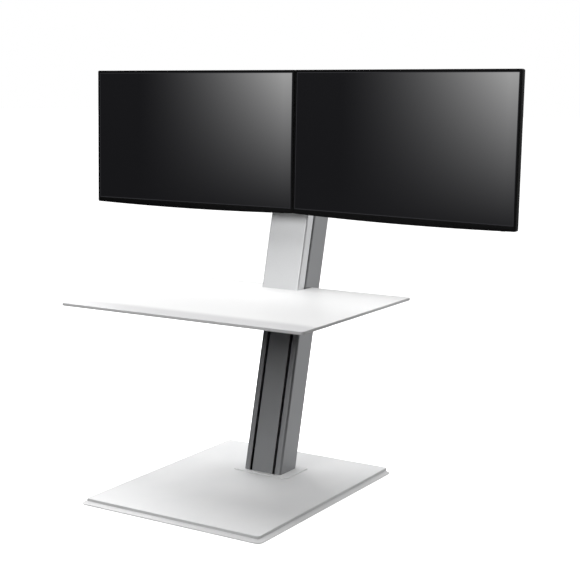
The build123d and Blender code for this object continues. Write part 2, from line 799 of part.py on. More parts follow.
def screen_outline(inset):
    """The screen seen from in front: straight top and sides, a bottom edge that bows down."""
    x = SCREEN_W / 2 - inset
    top = SCREEN_H / 2 - inset
    low = -SCREEN_H / 2 + inset
    with BuildSketch() as face:
        with BuildLine():
            ThreePointArc((-x, low), (0, low - SCREEN_BOW), (x, low))
            Polyline((x, low), (x, top), (-x, top), (-x, low))
        make_face()
    return fillet(face.sketch.vertices(), 3.5)


def facing(sketch, d):
    """Stands a sketch up in the tilt frame at a distance behind the front, facing back."""
    return Location((0, depth(d), 0), (90, 0, 0)) * sketch


def slab(sketch, d0, d1):
    """A sketch pushed back from d0 to d1 behind the front."""
    return extrude(facing(sketch, d0), amount=-(d1 - d0))


def window():
    """The opening in the bezel: equal margins at the sides and top, and a chin below."""
    high = SCREEN_H / 2 - BEZEL_SIDE
    low = -SCREEN_H / 2 + BEZEL_CHIN
    return Pos(0, (high + low) / 2) * Rectangle(SCREEN_W - 2 * BEZEL_SIDE, high - low)


def screen_bezel(side):
    """Front frame round the panel."""
    frame = slab(screen_outline(0), 0, BEZEL_T) - slab(window(), -1, BEZEL_T + 1)
    return tilt_frame(side) * frame


def screen_panel(side):
    """Display panel, set a little behind the bezel's face."""
    return tilt_frame(side) * slab(window(), PANEL_SET, PANEL_SET + PANEL_T)


def bulge(inset, d0, d1):
    """Tapered housing on the middle of the screen's back."""
    grow = (SHELL_T - d0) / (SHELL_T - RIM_T) * BULGE_TAPER
    shrink = (SHELL_T - d1) / (SHELL_T - RIM_T) * BULGE_TAPER
    w = BULGE_W - BULGE_TAPER - 2 * inset
    h = BULGE_H - 2 * inset
    near = facing(RectangleRounded(w + grow, h + grow, 10), d0)
    far = facing(RectangleRounded(w + shrink, h + shrink, 10), d1)
    return loft([near, far])


def socket_block(side):
    """Block of sockets on the underside of the housing: one inlet and two signal sockets."""
    body = block((-SOCKET_X, SOCKET_X), (depth(RIM_T + 1), depth(SHELL_T - 4)), SOCKET_Z)
    floor = SOCKET_Z[0] + SOCKET_DEEP
    for x, wide in SOCKETS:
        across = (x - wide / 2, x + wide / 2)
        body -= block(across, (depth(RIM_T + 4), depth(SHELL_T - 7)), (SOCKET_Z[0] - 1, floor))
    return tilt_frame(side) * body


def button_low():
    """Height of the bowed bottom edge at the power button."""
    half = SCREEN_W / 2
    return -SCREEN_H / 2 - SCREEN_BOW * (1 - (BUTTON_X / half) ** 2)


def button_box(gap, top):
    """The button's own box, grown by a gap sideways."""
    x = BUTTON_W / 2 + gap
    y = BUTTON_D / 2 + gap
    middle = depth((BEZEL_T + RIM_T) / 2)
    low = button_low() - BUTTON_PROUD
    return block((BUTTON_X - x, BUTTON_X + x), (middle - y, middle + y), (low, top))


def power_button(side):
    """Push button in the bottom edge, near the right end."""
    low = button_low() - BUTTON_PROUD
    key = button_box(0, low + BUTTON_H)
    rim = key.edges().filter_by(Axis.Z)
    return tilt_frame(side) * fillet(rim, 1.5)


def rear_shell(side):
    """Moulded back: a thin rim behind the bezel and a tapered housing in the middle."""
    outer = slab(screen_outline(0.6), BEZEL_T, RIM_T)
    back_rim = outer.faces().sort_by(Axis.Y)[-1].outer_wire().edges()
    outer = chamfer(back_rim, 2.0)
    outer += bulge(0, RIM_T - 0.5, SHELL_T)
    inner = slab(screen_outline(0.6 + SHELL_WALL), BEZEL_T - 1, RIM_T - SHELL_WALL)
    inner += bulge(SHELL_WALL, RIM_T - SHELL_WALL - 0.5, SHELL_T - SHELL_WALL)
    shell = outer - inner
    shell -= button_box(BUTTON_GAP, -SCREEN_H / 2 + 6)
    return tilt_frame(side) * shell - socket_block(side) - group(vesa_screws(side))


# ------------------------------------------------------------ write the nodes


def save_base():
    """The base and everything fixed in the column."""
    bolts = group(foot_bolts())
    side_screws = group(column_screws())
    save("nonslip_mat", nonslip_mat())
    save("base_plate", base_plate() - bolts)
    save("base_cover", base_cover())
    save("foot_collar", foot_collar())
    save("foot_bracket", foot_bracket() - bolts - side_screws)
    save("foot_bolts", bolts)
    save("column_screws", side_screws)
    save("column_channel", column_channel() - side_screws)
    save("column_strip", column_strip())
    save("column_cap", column_cap())
    save("spring_anchor", spring_anchor())
    save("travel_bumpers", travel_bumpers())
    save("cable_cover", cable_cover())


def save_lift():
    """The carriage, the counterbalance, the mast and the work surface."""
    into_arms = group(arm_screws())
    short = group(platform_screws())
    long = group(mast_bolts())
    save("carriage", carriage())
    save("glide_pads", glide_pads())
    save("spool_axle", spool_axle())
    save("spring_strips", spring_strips())
    for name, side in SIDES.items():
        save(f"spool_{name}", spool(side))
        save(f"spring_coil_{name}", spring_coil(side))
    save("lift_arms", lift_arms() - into_arms)
    save("arm_screws", into_arms)
    save("mast_tube", mast_tube() - into_arms)
    save("mast_foot", mast_foot() - long)
    save("mast_head", mast_head() - pan_spindle())
    save("pan_spindle", pan_spindle())
    save("platform_board", platform_board() - short - long)
    save("notch_trim", notch_trim())
    save("platform_bracket", platform_bracket() - short - long)
    save("platform_screws", short)
    save("mast_bolts", long)


def save_crossbar():
    """The turning crossbar and its hub."""
    screws = group(hub_screws())
    save("crossbar", crossbar() - screws)
    save("bar_caps", bar_caps())
    save("crossbar_hub", crossbar_hub() - screws)
    save("hub_screws", screws)


def save_head(name, side):
    """One head with its screen."""
    locks = group(slider_screws(side))
    fixings = group(vesa_screws(side))
    save(f"head_slider_{name}", head_slider(side) - locks)
    save(f"slider_screws_{name}", locks)
    save(f"pan_bolt_{name}", pan_bolt(side))
    save(f"head_arm_{name}", head_arm(side))
    save(f"vesa_plate_{name}", vesa_plate(side) - fixings)
    save(f"tilt_pin_{name}", tilt_pin(side))
    save(f"vesa_screws_{name}", fixings)
    save(f"screen_bezel_{name}", screen_bezel(side))
    save(f"screen_panel_{name}", screen_panel(side))
    save(f"rear_shell_{name}", rear_shell(side))
    save(f"socket_block_{name}", socket_block(side))
    save(f"power_button_{name}", power_button(side))


save_base()
save_lift()
save_crossbar()
for head_name, head_side in SIDES.items():
    save_head(head_name, head_side)
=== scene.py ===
# %% [markdown]
# # A standing desk converter, dressed for its portrait
#
# The CAD model gives every part its size and place. This notebook gives the parts their finish:
# powder coat, anodised extrusion, cast paint, moulded plastic and display glass. Where a part
# needs softer edges or finer detail than its CAD solid has, a new surface is worked out with numpy
# and stands in for it.

# %% Load the frame
import json
import math

import bpy
import numpy as np
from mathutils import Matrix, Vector


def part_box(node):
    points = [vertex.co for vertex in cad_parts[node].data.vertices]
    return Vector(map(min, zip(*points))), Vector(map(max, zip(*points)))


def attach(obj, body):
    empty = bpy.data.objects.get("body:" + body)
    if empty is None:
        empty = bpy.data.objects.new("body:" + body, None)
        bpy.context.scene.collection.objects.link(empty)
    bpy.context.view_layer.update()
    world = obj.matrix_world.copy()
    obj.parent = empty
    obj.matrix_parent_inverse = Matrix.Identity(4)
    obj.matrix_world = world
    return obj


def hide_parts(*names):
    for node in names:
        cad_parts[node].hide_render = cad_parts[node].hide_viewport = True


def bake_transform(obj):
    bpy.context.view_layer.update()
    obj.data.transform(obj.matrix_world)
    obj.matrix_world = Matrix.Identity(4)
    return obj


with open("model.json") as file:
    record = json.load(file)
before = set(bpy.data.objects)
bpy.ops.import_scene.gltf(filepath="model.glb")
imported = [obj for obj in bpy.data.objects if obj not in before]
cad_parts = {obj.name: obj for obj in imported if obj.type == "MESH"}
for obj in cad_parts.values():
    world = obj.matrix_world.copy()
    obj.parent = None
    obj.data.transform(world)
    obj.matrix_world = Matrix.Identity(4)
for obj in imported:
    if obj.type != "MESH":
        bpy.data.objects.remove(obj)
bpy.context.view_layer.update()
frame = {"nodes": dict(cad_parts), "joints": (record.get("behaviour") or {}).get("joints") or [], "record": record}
nodes = frame["nodes"]
MM = 0.001

# %% [markdown]
# ## Camera
#
# A portrait of furniture is taken with a long lens from a few metres away, so that upright edges
# stay nearly upright. The camera stands to the user's right, a little above the screens' height,
# and looks slightly down. Depth of field stays off: the whole object is sharp.

# %% Camera
CAMERA_TURN = math.radians(32.18)
CAMERA_RISE = math.radians(9.35)
CAMERA_DISTANCE = 3.112
CAMERA_AIM = Vector((0.1458, 0.0, 0.5248))
CAMERA_LENS = 79.7


def place_camera():
    """Camera on a sphere round its aim: turned from straight in front, and raised."""
    back = Vector(
        (
            math.sin(CAMERA_TURN) * math.cos(CAMERA_RISE),
            -math.cos(CAMERA_TURN) * math.cos(CAMERA_RISE),
            math.sin(CAMERA_RISE),
        )
    )
    data = bpy.data.cameras.new("camera")
    data.lens = CAMERA_LENS
    data.sensor_width = 36.0
    data.clip_start = 0.05
    data.clip_end = 100.0
    camera = bpy.data.objects.new("camera", data)
    camera.location = CAMERA_AIM + back * CAMERA_DISTANCE
    camera.rotation_mode = "QUATERNION"
    camera.rotation_quaternion = (-back).to_track_quat("-Z", "Y")
    bpy.context.scene.collection.objects.link(camera)
    bpy.context.scene.camera = camera
    return camera


camera = place_camera()
print("camera at", [round(c, 3) for c in camera.location])

# %% [markdown]
# ## Material helpers
#
# Every finish is a Principled shader with a pattern in front of it. Colours are written as sRGB
# hex values, as a paint chart would give them, and one function turns them into the linear values
# that the renderer works in. One more function adds a node with its settings and its links. A
# grain is a noise pattern of a real size, and a skin is what a surface makes of such patterns.

# %% Material helpers


def linear(code, alpha=1.0):
    """sRGB hex code to linear light: v / 12.92 below 0.04, else ((v + 0.055) / 1.055) ** 2.4."""
    srgb = [int(code[i : i + 2], 16) / 255 for i in (1, 3, 5)]
    return (*[v / 12.92 if v <= 0.04045 else ((v + 0.055) / 1.055) ** 2.4 for v in srgb], alpha)


def add(material, kind, inputs=None, **settings):
    """Adds a node, sets its properties, then fills its inputs with values or links."""
    node = material.node_tree.nodes.new(kind)
    for key, value in settings.items():
        setattr(node, key, value)
    for socket, value in (inputs or {}).items():
        if isinstance(value, bpy.types.NodeSocket):
            material.node_tree.links.new(value, node.inputs[socket])
        else:
            node.inputs[socket].default_value = value
    return node


def finish_named(name, **sockets):
    """A new material with a Principled shader whose sockets are set directly."""
    material = bpy.data.materials.new(name)
    material.use_nodes = True
    material.node_tree.nodes.clear()
    inputs = {key.replace("_", " "): value for key, value in sockets.items()}
    shader = add(material, "ShaderNodeBsdfPrincipled", inputs)
    out = add(material, "ShaderNodeOutputMaterial", {"Surface": shader.outputs[0]})
    out.is_active_output = True
    return material, shader


def grain(material, size, detail=2.0, stretch=(1.0, 1.0, 1.0), turn=(0.0, 0.0, 0.0)):
    """Noise factor whose blobs are about `size` metres across, stretched along each axis.

    Object coordinates are turned and divided by the stretch, and then read by the noise.
    """
    where = add(material, "ShaderNodeTexCoord").outputs["Object"]
    placed = add(
        material,
        "ShaderNodeMapping",
        {"Vector": where, "Scale": tuple(1 / s for s in stretch), "Rotation": turn},
    )
    noise = add(
        material,
        "ShaderNodeTexNoise",
        {"Vector": placed.outputs[0], "Scale": 1 / size, "Detail": detail, "Roughness": 0.5},
    )
    return noise.outputs[0]


def finish_skin(material, shader, tone=None, rough=None, relief=None):
    """Gives a surface its colour drift, its gloss and its relief, each led by a 0 to 1 pattern.

    tone is (pattern, dark hex, light hex), rough is (pattern, lowest, highest roughness), and
    relief is (pattern, height in metres, strength).
    """
    link = material.node_tree.links.new
    if tone:
        pattern, dark, light = tone
        blend = {0: pattern, 6: linear(dark), 7: linear(light)}
        mix = add(material, "ShaderNodeMix", blend, data_type="RGBA")
        link(mix.outputs[2], shader.inputs["Base Color"])
    if rough:
        pattern, low, high = rough
        span = {"Value": pattern, "To Min": low, "To Max": high}
        link(add(material, "ShaderNodeMapRange", span).outputs[0], shader.inputs["Roughness"])
    if relief:
        pattern, distance, strength = relief
        height = {"Height": pattern, "Distance": distance, "Strength": strength}
        link(add(material, "ShaderNodeBump", height).outputs[0], shader.inputs["Normal"])


print("helpers ready")

# %% [markdown]
# ## Painted and moulded whites
#
# The base is a steel plate with a baked powder coat under a moulded cover, and the work surface is
# a board with a fine satin laminate. All three are nearly the same white. Powder coat melts into a
# soft orange peel of about 2 mm, moulded plastic carries a spark-eroded grain under half a
# millimetre (drawn at 0.8 mm, or it would not show), and laminate has a finer grain still. Noise
# textures in Object coordinates give all of these, because they need no unwrapping.

# %% Whites
# Powder coat on steel: satin, with a faint orange peel that breaks up long highlights.
powder_coat, shader = finish_named("powder_coat_white", Roughness=0.42)
finish_skin(
    powder_coat,
    shader,
    tone=(grain(powder_coat, 60 * MM), "#e9e9ea", "#f0f0f0"),
    relief=(grain(powder_coat, 2.2 * MM), 0.04 * MM, 0.5),
)

# Moulded ABS with spark-eroded grain: a little duller and colder than the powder coat.
moulded_white, shader = finish_named("moulded_abs_white", Roughness=0.5)
sparks = grain(moulded_white, 0.8 * MM)
finish_skin(
    moulded_white,
    shader,
    tone=(grain(moulded_white, 90 * MM), "#ecedee", "#f3f3f3"),
    rough=(sparks, 0.46, 0.56),
    relief=(sparks, 0.03 * MM, 0.5),
)

# Satin laminate: very fine grain, and slightly glossier where it has been wiped. It is rolled over
# the front edge, where a band 75 mm wide is painted a shade greyer: painted shade on the roll.
laminate, shader = finish_named("satin_laminate_white")
front_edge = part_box("platform_board")[0].y
place = add(laminate, "ShaderNodeTexCoord").outputs["Object"]
along = add(laminate, "ShaderNodeSeparateXYZ", {0: place}).outputs[1]
# Painted shade: the colour greys towards the front edge, from 75 mm to 35 mm in from it.
roll_painted_shade = add(
    laminate,
    "ShaderNodeMapRange",
    {"Value": along, "From Min": front_edge + 75 * MM, "From Max": front_edge + 35 * MM},
    interpolation_type="SMOOTHSTEP",
)
finish_skin(
    laminate,
    shader,
    tone=(roll_painted_shade.outputs[0], "#f4f4f4", "#d6d6d7"),
    rough=(grain(laminate, 70 * MM, 3.0), 0.38, 0.46),
    relief=(grain(laminate, 0.6 * MM), 0.015 * MM, 0.4),
)

# The board's edge band: extruded white ABS, satin, with the faint waviness of a scraped edge.
edge_band, shader = finish_named("abs_edge_band_white", Roughness=0.5)
finish_skin(
    edge_band,
    shader,
    tone=(grain(edge_band, 35 * MM), "#eeeeef", "#f4f4f4"),
    relief=(grain(edge_band, 1.5 * MM), 0.02 * MM, 0.4),
)
print("whites:", powder_coat.name, moulded_white.name, laminate.name)

# %% [markdown]
# ## Anodised extrusions
#
# The column, the mast and the crossbar are aluminium extrusions. The die leaves faint lines along
# the length, and anodising turns the metal satin. So the pattern is noise stretched about two
# hundred times along the extrusion: turned by the column's lean for the upright pieces, and by the
# crossbar's turn for the bar. Real die lines are 0.2 mm apart; they are drawn 0.8 mm apart.

# %% Anodised aluminium
LEAN = math.radians(14.32)
BAR_TURN = math.radians(-3.455)


def anodised(name, dark, light, rough, stretch, turn):
    """Satin anodised aluminium with die lines along the stretched axis."""
    material, shader = finish_named(name, Metallic=0.55)
    lines = grain(material, 0.8 * MM, 2.0, stretch, turn)
    tone = (lines, dark, light)
    finish_skin(material, shader, tone, (lines, rough, rough + 0.08), (lines, 0.01 * MM, 0.35))
    return material


upright = {"stretch": (1.0, 1.0, 200.0), "turn": (LEAN, 0.0, 0.0)}
anodised_grey = anodised("anodised_aluminium_grey", "#969799", "#a0a1a3", 0.42, **upright)
anodised_silver = anodised("anodised_aluminium_silver", "#e2e3e4", "#ecedee", 0.45, **upright)
anodised_bar = anodised(
    "anodised_aluminium_bar", "#c2c3c5", "#cdced0", 0.45, (200.0, 1.0, 1.0), (0.0, 0.0, -BAR_TURN)
)
print("extrusions:", anodised_grey.name, anodised_silver.name, anodised_bar.name)

# %% [markdown]
# ## Castings, steel and springs
#
# The heads and the mast's ends are die castings with a silver paint, whose skin stays slightly
# uneven. Folded brackets have a thin black electrocoat, and the fasteners are zinc plated, which
# clouds into patches. Spring steel is blued and bright. All are metals, or thin paint on metal.

# %% Castings and steel
cast_silver, shader = finish_named("cast_zinc_silver_paint", Metallic=0.35)
skin = grain(cast_silver, 1.6 * MM, 3.0)
finish_skin(
    cast_silver,
    shader,
    tone=(grain(cast_silver, 25 * MM), "#b4b5b8", "#c0c1c3"),
    rough=(skin, 0.44, 0.56),
    relief=(skin, 0.05 * MM, 0.5),
)

electrocoat, shader = finish_named("electrocoated_steel_black", Metallic=0.2)
finish_skin(
    electrocoat,
    shader,
    tone=(grain(electrocoat, 30 * MM, 3.0), "#17181a", "#202123"),
    rough=(grain(electrocoat, 1.2 * MM), 0.4, 0.5),
    relief=(grain(electrocoat, 0.9 * MM), 0.02 * MM, 0.4),
)

zinc, shader = finish_named("zinc_plated_steel", Metallic=1.0)
clouds = grain(zinc, 3.0 * MM, 4.0)
finish_skin(zinc, shader, tone=(clouds, "#a3a5a8", "#c4c6c8"), rough=(clouds, 0.24, 0.36))

spring_steel, shader = finish_named("blued_spring_steel", Metallic=1.0)
rolled_lines = grain(spring_steel, 0.8 * MM, 2.0, (1.0, 1.0, 60.0), (LEAN, 0.0, 0.0))
finish_skin(
    spring_steel,
    shader,
    tone=(rolled_lines, "#4c5158", "#6a6f76"),
    rough=(rolled_lines, 0.22, 0.32),
)
print("metals:", cast_silver.name, electrocoat.name, zinc.name, spring_steel.name)

# %% [markdown]
# ## Black rubber and plastics
#
# Four blacks tell four processes apart: dull rubber, waxy acetal, the fine matt skin of the
# bezels, and the coarser erosion texture of the screens' backs. Under white studio light a black
# plastic looks grey if it reflects as much as its IOR of 1.5 says, so the matt ones hold the
# specular level down, as a rough skin does that traps part of the light.

# %% Black rubber and plastics


def black(name, dark, light, size, relief, rough, level):
    """Matt black polymer whose skin has grains of one size and one relief, in metres."""
    material, shader = finish_named(name, Specular_IOR_Level=level)
    skin = grain(material, size, 3.0)
    tone = (grain(material, 40 * size), dark, light)
    finish_skin(material, shader, tone, (skin, rough, rough + 0.1), (skin, relief, 0.5))
    return material


rubber = black("pressed_rubber_black", "#151515", "#1d1d1d", 1.4 * MM, 0.06 * MM, 0.75, 0.25)
acetal = black("moulded_acetal_black", "#121214", "#19191b", 2.5 * MM, 0.01 * MM, 0.35, 0.35)
bezel_black = black("moulded_bezel_black", "#050506", "#080809", 0.8 * MM, 0.015 * MM, 0.5, 0.12)
shell_black = black("eroded_abs_black", "#0e0e10", "#141416", 1.0 * MM, 0.05 * MM, 0.55, 0.22)
print("blacks:", rubber.name, acetal.name, bezel_black.name, shell_black.name)

# %% [markdown]
# ## Floor and light
#
# A product portrait on white needs a floor that melts into its background. The floor is one large
# sheet that glows a little, so it stays paper white round the object and keeps only a trace of
# contact shadow. It isn't seen by bounced light, or it would fill every face from below. Five soft
# boxes do the lighting: most of it comes from above and from the left, so the work surface shades
# the base and faces turned right fall darker, and one low box in front lights the mast. Rays that
# leave the scene meet a white paper backdrop behind the object and a dark room in front of it,
# except the camera's own, which meet plain white.

# %% Floor and light


def sheet_at(name, half, height):
    """A level square sheet facing up: corner = (+-half, +-half, height)."""
    corners = np.array([(-1, -1), (1, -1), (1, 1), (-1, 1)], float) * half
    points = np.column_stack([corners, np.full(4, height)])
    mesh = bpy.data.meshes.new(name)
    mesh.from_pydata(points.tolist(), [], [(0, 1, 2, 3)])
    sheet = bpy.data.objects.new(name, mesh)
    bpy.context.scene.collection.objects.link(sheet)
    return sheet


floor = sheet_at("studio_floor", 30.0, -0.5 * MM)
floor.visible_diffuse = False
floor.visible_glossy = False
floor_paint, shader = finish_named(
    "studio_floor_white",
    Roughness=0.9,
    Specular_IOR_Level=0.0,
    Emission_Color=linear("#ffffff"),
    Emission_Strength=0.96,
)
finish_skin(floor_paint, shader, tone=(grain(floor_paint, 0.4), "#f4f4f4", "#fafafa"))
floor.data.materials.append(floor_paint)


def softbox(name, place, aim, size, power):
    """A square area light that looks at a point; power in watts."""
    data = bpy.data.lights.new(name, "AREA")
    data.shape = "SQUARE"
    data.size = size
    data.energy = power
    light = bpy.data.objects.new(name, data)
    light.location = place
    light.rotation_mode = "QUATERNION"
    light.rotation_quaternion = (Vector(aim) - Vector(place)).to_track_quat("-Z", "Y")
    bpy.context.scene.collection.objects.link(light)
    return light


def backdrop_room(name, brightness):
    """A world that is white to the camera; other rays meet brightness * y for a direction's y."""
    world = bpy.data.worlds.new(name)
    world.use_nodes = True
    world.node_tree.nodes.clear()
    direction = add(world, "ShaderNodeTexCoord").outputs["Generated"]
    backwards = add(world, "ShaderNodeSeparateXYZ", {0: direction}).outputs[1]
    paper = add(world, "ShaderNodeMapRange", {"Value": backwards, "To Max": brightness})
    ray = add(world, "ShaderNodeLightPath").outputs["Is Camera Ray"]
    strength = add(world, "ShaderNodeMix", {0: ray, 2: paper.outputs[0], 3: 1.0})
    light = add(
        world,
        "ShaderNodeBackground",
        {"Color": linear("#ffffff"), "Strength": strength.outputs[0]},
    )
    add(world, "ShaderNodeOutputWorld", {"Surface": light.outputs[0]})
    return world


AIM = (0.0, 0.0, 0.3)
softbox("left_high_box", (-2.35, 0.0, 3.41), AIM, 2.0, 45.0)
softbox("left_back_box", (-2.45, 1.71, 2.81), AIM, 2.0, 50.0)
softbox("front_box", (-0.62, -3.5, 2.35), AIM, 2.0, 61.0)
softbox("top_box", (0.0, -0.3, 3.79), AIM, 2.0, 57.0)
softbox("right_back_box", (1.92, 2.29, 2.81), AIM, 2.0, 23.0)
bpy.context.scene.world = backdrop_room("studio_room", 1.14)
bpy.context.scene.view_settings.view_transform = "Standard"

# %% [markdown]
# ## Display panels
#
# The panels are liquid crystal displays under a matt anti-glare film. Each glows with a painted
# reflection: nearly black on the left, and lifting to a soft grey in the top right corner. It is an
# emission colour, worked out from the panel's own UV map: one ramp across, one ramp up, multiplied.
# Both screens carry the same painted reflection.

# %% Display finish
display, shader = finish_named(
    "display_anti_glare_film",
    Base_Color=linear("#050506"),
    Roughness=0.42,
    Specular_IOR_Level=0.05,
    Emission_Strength=1.0,
)
panel_uv = add(display, "ShaderNodeTexCoord").outputs["UV"]
across_up = add(display, "ShaderNodeSeparateXYZ", {0: panel_uv})
across = add(
    display,
    "ShaderNodeMapRange",
    {"Value": across_up.outputs[0], "From Min": 0.22, "From Max": 0.96},
)
bent = add(display, "ShaderNodeMath", {0: across.outputs[0], 1: 1.25}, operation="POWER")
upwards = {"Value": across_up.outputs[1], "To Min": 0.09, "To Max": 1.0}
up = add(display, "ShaderNodeMapRange", upwards)
glow = add(display, "ShaderNodeMath", {0: bent.outputs[0], 1: up.outputs[0]}, operation="MULTIPLY")
# The ends of each blend are sRGB levels; the Gamma node after them turns them to linear light.
# Painted reflection: a soft grey glare glowing up to the top right corner, drawn as emission.
painted_reflection = add(
    display,
    "ShaderNodeMix",
    {0: glow.outputs[0], 6: (0.108, 0.108, 0.114, 1.0), 7: (0.61, 0.61, 0.61, 1.0)},
    data_type="RGBA",
)
# The painted reflection stops 1.8 mm short of the glass edge; the border glows one even, slightly lighter grey.
PANEL_SIZE = (0.634, 0.345, 1.0)
MIDDLE = (0.5, 0.5, 0.0)
VECTOR = "ShaderNodeVectorMath"
centred = add(display, VECTOR, {0: panel_uv, 1: MIDDLE}, operation="SUBTRACT")
spread = add(display, VECTOR, {0: centred.outputs[0]}, operation="ABSOLUTE")
margin = add(display, VECTOR, {0: MIDDLE, 1: spread.outputs[0]}, operation="SUBTRACT")
metres = add(display, VECTOR, {0: margin.outputs[0], 1: PANEL_SIZE}, operation="MULTIPLY")
sides = add(display, "ShaderNodeSeparateXYZ", {0: metres.outputs[0]})
both = {0: sides.outputs[0], 1: sides.outputs[1]}
nearest = add(display, "ShaderNodeMath", both, operation="MINIMUM")
border = add(display, "ShaderNodeMath", {0: nearest.outputs[0], 1: 1.8 * MM}, operation="LESS_THAN")
lighter = add(
    display,
    "ShaderNodeMix",
    {0: border.outputs[0], 6: painted_reflection.outputs[2], 7: (0.2, 0.2, 0.21, 1.0)},
    data_type="RGBA",
)
light = add(display, "ShaderNodeGamma", {"Color": lighter.outputs[2], "Gamma": 2.2})
display.node_tree.links.new(light.outputs[0], shader.inputs["Emission Color"])
print("display:", display.name)

# %% [markdown]
# ## Surfaces from arrays
#
# A hard edge never looks real, because a real edge is a small round that catches a line of light.
# The CAD solids of the board, the base and the screens have few rounds, so these pieces are made
# again as surfaces: an outline in plan, carried along a profile of insets and heights. Two helpers
# do it. One makes an outline with round corners, and one turns a grid of points into a mesh.

# %% Surface helpers


def outline(corners, radii, inset=0.0, least=0.0, steps=7):
    """Plan outline with right-angled corners rounded, counterclockwise, shape (points, 2).

    Corner P has unit vectors u and v to its neighbours. It moves by inset * (u + v), or by the
    opposite where it is concave, and becomes the arc P + r(u + v) - r(v cos t + u sin t) with t
    from 0 to a quarter turn. A convex r loses the inset, and a concave r stays as it is.
    """
    p = np.asarray(corners, float)
    u = np.roll(p, 1, axis=0) - p
    v = np.roll(p, -1, axis=0) - p
    u /= np.linalg.norm(u, axis=1)[:, None]
    v /= np.linalg.norm(v, axis=1)[:, None]
    side = np.where(u[:, 0] * v[:, 1] - u[:, 1] * v[:, 0] < 0, 1.0, -1.0)
    r = np.asarray(radii, float) - np.where(side > 0, inset, 0.0)
    r = np.maximum(r, least)[:, None, None]
    p = p + (side * inset)[:, None] * (u + v)
    t = np.linspace(0, math.pi / 2, steps)[None, :, None]
    p, u, v = p[:, None], u[:, None], v[:, None]
    return (p + r * (u + v) - r * (v * np.cos(t) + u * np.sin(t))).reshape(-1, 2)


def surface(name, points, wrap_rows=False, caps=False, sharp=28.0):
    """Mesh from a grid of points, shape (rows, columns, 3); its columns always close on themselves.

    Cell (i, j) is the quad (i, j), (i, j + 1), (i + 1, j + 1), (i + 1, j). Caps fill the first and
    last rows. Edges that bend by more than `sharp` degrees stay sharp.
    """
    rows, columns = points.shape[:2]
    bands = rows if wrap_rows else rows - 1
    i, j = np.meshgrid(np.arange(bands), np.arange(columns), indexing="ij")
    k, l = (i + 1) % rows, (j + 1) % columns
    quads = np.stack([i * columns + j, i * columns + l, k * columns + l, k * columns + j], axis=-1)
    faces = quads.reshape(-1, 4).tolist()
    if caps:
        faces.append(np.arange(columns)[::-1].tolist())
        faces.append(np.arange((rows - 1) * columns, rows * columns).tolist())
    mesh = bpy.data.meshes.new(name)
    mesh.from_pydata(points.reshape(-1, 3).tolist(), [], faces)
    mesh.polygons.foreach_set("use_smooth", np.ones(len(mesh.polygons), bool))
    mesh.set_sharp_from_angle(angle=math.radians(sharp))
    piece = bpy.data.objects.new(name, mesh)
    bpy.context.scene.collection.objects.link(piece)
    return piece


def settle(piece, body, node, finish):
    """Gives a piece its finish, its body and its slot, and lets it stand for its CAD node."""
    piece.data.materials.append(finish)
    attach(piece, body)
    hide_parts(node)
    print(piece.name, len(piece.data.polygons), "faces")


def rectangle(low, high):
    """Corners of a rectangle, counterclockwise from its lowest corner."""
    return [(low[0], low[1]), (high[0], low[1]), (high[0], high[1]), (low[0], high[1])]


# A quarter round in five steps: (share of the radius inwards, share of the radius down).
QUARTER = [(1 - math.cos(a), 1 - math.sin(a)) for a in np.linspace(0, math.pi / 2, 5)]

# %% [markdown]
# ## Work surface
#
# The board is about a centimetre thick, but it looks thinner: its underside slopes up to a lip of
# 7 mm, and the front edge rolls down gently under the wrists. Every loop of the mesh is the same
# outline with a larger inset. The lower loops climb the knife edge, a quarter round closes the lip,
# and the upper loops walk inwards until they are past the roll, where the top is flat. The lip is
# covered by a moulded edge band, so the faces of its rows take a second material.

# %% Work surface
BOARD_LIP = 7 * MM
BOARD_UNDERCUT = 20 * MM
BOARD_CORNER = 10 * MM
ROLL_WIDTH = 60 * MM
ROLL_DROP = 2.5 * MM
EDGE_ROUND = 0.9 * MM
board_low, board_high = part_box("platform_board")
trim_low, trim_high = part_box("notch_trim")


def board_corners():
    """The board's rectangle with its notch: eight corners, counterclockwise."""
    left, right = trim_low.x, trim_high.x
    front, back = board_low.y, board_high.y
    notch = trim_low.y
    return [
        (board_low.x, front),
        (board_high.x, front),
        (board_high.x, back),
        (right, back),
        (right, notch),
        (left, notch),
        (left, back),
        (board_low.x, back),
    ]


def rolled(y):
    """Drop of the top: an arc of radius R = (w * w + d * d) / 2d over the roll's width w."""
    radius = (ROLL_WIDTH**2 + ROLL_DROP**2) / (2 * ROLL_DROP)
    along = np.clip(board_low.y + ROLL_WIDTH - y, 0, ROLL_WIDTH)
    return radius - np.sqrt(radius**2 - along**2)


def board_loops():
    """Loops of the board from the middle of its underside, over the lip, to its flat top."""
    radii = [BOARD_CORNER] * 3 + [2 * MM, 1 * MM, 1 * MM, 2 * MM] + [BOARD_CORNER]
    lip = board_high.z - BOARD_LIP
    loops = []

    def loop(inset, height, follows):
        plan = outline(board_corners(), radii, inset, 1 * MM)
        z = np.maximum(height - rolled(plan[:, 1]) * follows, board_low.z)
        loops.append(np.column_stack([plan, z]))

    for inset in (BOARD_UNDERCUT + 4 * MM, BOARD_UNDERCUT):
        loop(inset, board_low.z, 0)
    for inset in (0.8 * MM, 0.2 * MM, 0.0):
        rise = (BOARD_UNDERCUT - inset) / BOARD_UNDERCUT
        corner_break = 0.1 * MM if inset == 0 else 0
        loop(inset, board_low.z + (lip - board_low.z) * rise + corner_break, 1)
    for inwards, down in QUARTER:
        loop(inwards * EDGE_ROUND, board_high.z - down * EDGE_ROUND, 1)
    for inset in np.linspace(4 * MM, ROLL_WIDTH + 6 * MM, 12):
        loop(inset, board_high.z, 1)
    return np.array(loops)


